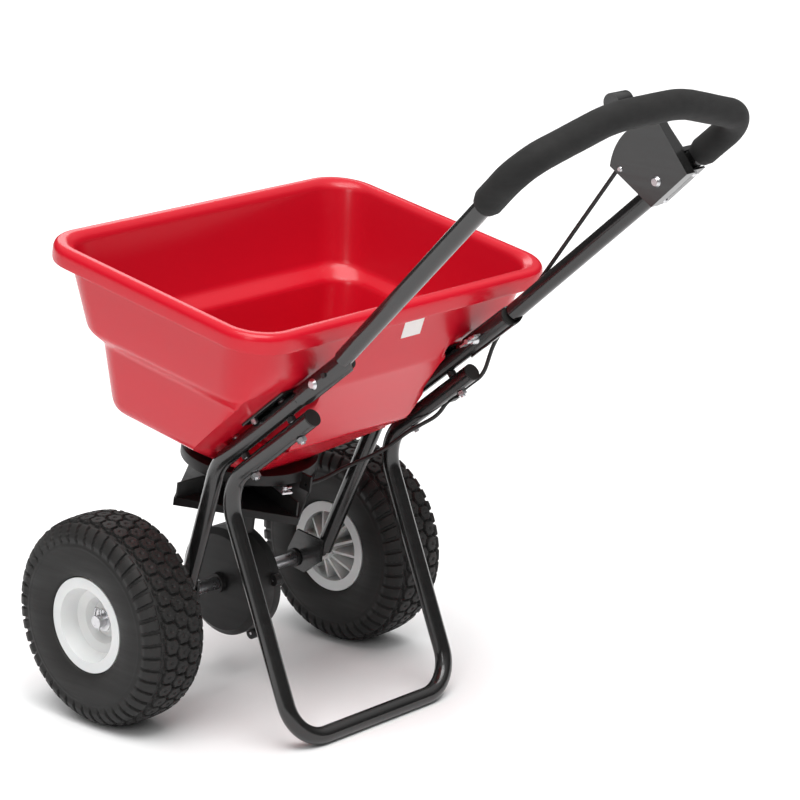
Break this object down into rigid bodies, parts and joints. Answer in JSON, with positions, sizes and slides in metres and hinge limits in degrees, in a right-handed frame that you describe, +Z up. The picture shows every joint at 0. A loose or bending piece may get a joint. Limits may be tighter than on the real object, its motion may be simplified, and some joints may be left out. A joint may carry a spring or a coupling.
{
  "type": "broadcast spreader",
  "caption": "Walk-behind garden broadcast spreader: moulded hopper on a bent-tube frame, pneumatic wheels, geared impeller and a hand lever that opens the shutter by cable.",
  "frame": {"origin": "centre of the bounding box's bottom face, on the ground between the wheels and the stand", "axes": "+Z up, +Y the way the spreader is pushed, +X to the user's right when standing at the handle"},
  "size_m": [0.536, 0.8187, 0.8511],
  "materials": {
    "red_plastic": "gloss",
    "black_paint": "satin powder coat",
    "black_plastic": "matte",
    "black_gloss": "gloss",
    "white_plastic": "semi-gloss",
    "tyre": "matte",
    "valve_rubber": "matte",
    "foam": "matte foam",
    "zinc_steel": "zinc plated"
  },
  "bodies": {
    "frame": {"axle_bushes": "black_plastic", "base_tray": "black_plastic", "cable_clip": "black_plastic", "clamp_strap": "black_paint", "control_base": "black_gloss", "control_bolt": "zinc_steel", "control_cable": "black_plastic", "control_cover": "black_gloss", "control_nut": "zinc_steel", "control_screws": "zinc_steel", "gearbox_left_shell": "black_plastic", "gearbox_right_shell": "black_plastic", "gearbox_screws": "zinc_steel", "grip": "foam", "handle": "black_paint", "handle_bolts": "zinc_steel", "hopper": "red_plastic", "hopper_bolts": "zinc_steel", "hopper_saddles": "black_paint", "left_axle_plate": "black_paint", "left_frame_tube": "black_paint", "neck_bush": "black_plastic", "right_axle_plate": "black_paint", "right_frame_tube": "black_paint", "scale_plate": "black_gloss", "shutter_retainer": "black_plastic", "snap_buttons": "black_plastic", "stand": "black_paint", "stand_bolts": "zinc_steel", "stand_nuts": "zinc_steel", "stand_spacers": "black_plastic", "tray_screws": "zinc_steel", "tube_end_plugs": "black_plastic", "wing_nuts": "zinc_steel"},
    "axle_set": {"axle": "zinc_steel", "crown_gear": "black_plastic", "crown_pin": "zinc_steel", "left_rim": "white_plastic", "left_tyre": "tyre", "left_valve": "valve_rubber", "axle_washers": "zinc_steel", "axle_clips": "zinc_steel", "wheel_spacers": "black_plastic"},
    "right_wheel": {"right_rim": "white_plastic", "right_tyre": "tyre", "right_valve": "valve_rubber"},
    "spinner": {"pinion_shaft": "zinc_steel", "pinion": "black_plastic", "thrust_washer": "zinc_steel", "impeller": "black_plastic", "impeller_pin": "zinc_steel", "agitator": "zinc_steel"},
    "shutter_set": {"shutter": "black_plastic", "shutter_arm": "zinc_steel", "shutter_pin": "zinc_steel", "cable_eye": "zinc_steel"},
    "lever_set": {"lever": "zinc_steel", "lever_knob": "black_gloss"},
    "rate_stop_set": {"rate_stop": "black_plastic", "rate_stop_screw": "black_plastic"}
  },
  "joints": [
    {"name": "axle_spin", "type": "hinge", "parent": "frame", "child": "axle_set", "pos_m": [0, 0.27449, 0.135], "axis": [1, 0, 0], "continuous": true},
    {"name": "right_wheel_spin", "type": "hinge", "parent": "frame", "child": "right_wheel", "pos_m": [0, 0.27449, 0.135], "axis": [1, 0, 0], "continuous": true},
    {"name": "spinner_spin", "type": "hinge", "parent": "frame", "child": "spinner", "pos_m": [0, 0.27449, 0.135], "axis": [0, -0.1697, 0.9855], "continuous": true},
    {"name": "lever_tilt", "type": "hinge", "parent": "frame", "child": "lever_set", "pos_m": [0.16, -0.28769, 0.715], "axis": [1, 0, 0], "range_deg": [0, 24]},
    {"name": "shutter_turn", "type": "hinge", "parent": "frame", "child": "shutter_set", "pos_m": [0, 0.27449, 0.135], "axis": [0, -0.1697, 0.9855], "range_deg": [0, 12]},
    {"name": "rate_stop_set", "type": "hinge", "parent": "frame", "child": "rate_stop_set", "pos_m": [0.16, -0.28769, 0.715], "axis": [1, 0, 0], "range_deg": [-25, 0]}
  ],
  "couplings": [
    {"joint": "spinner_spin", "follows": "axle_spin", "ratio": 4},
    {"joint": "shutter_turn", "follows": "lever_tilt", "ratio": 0.5}
  ]
}
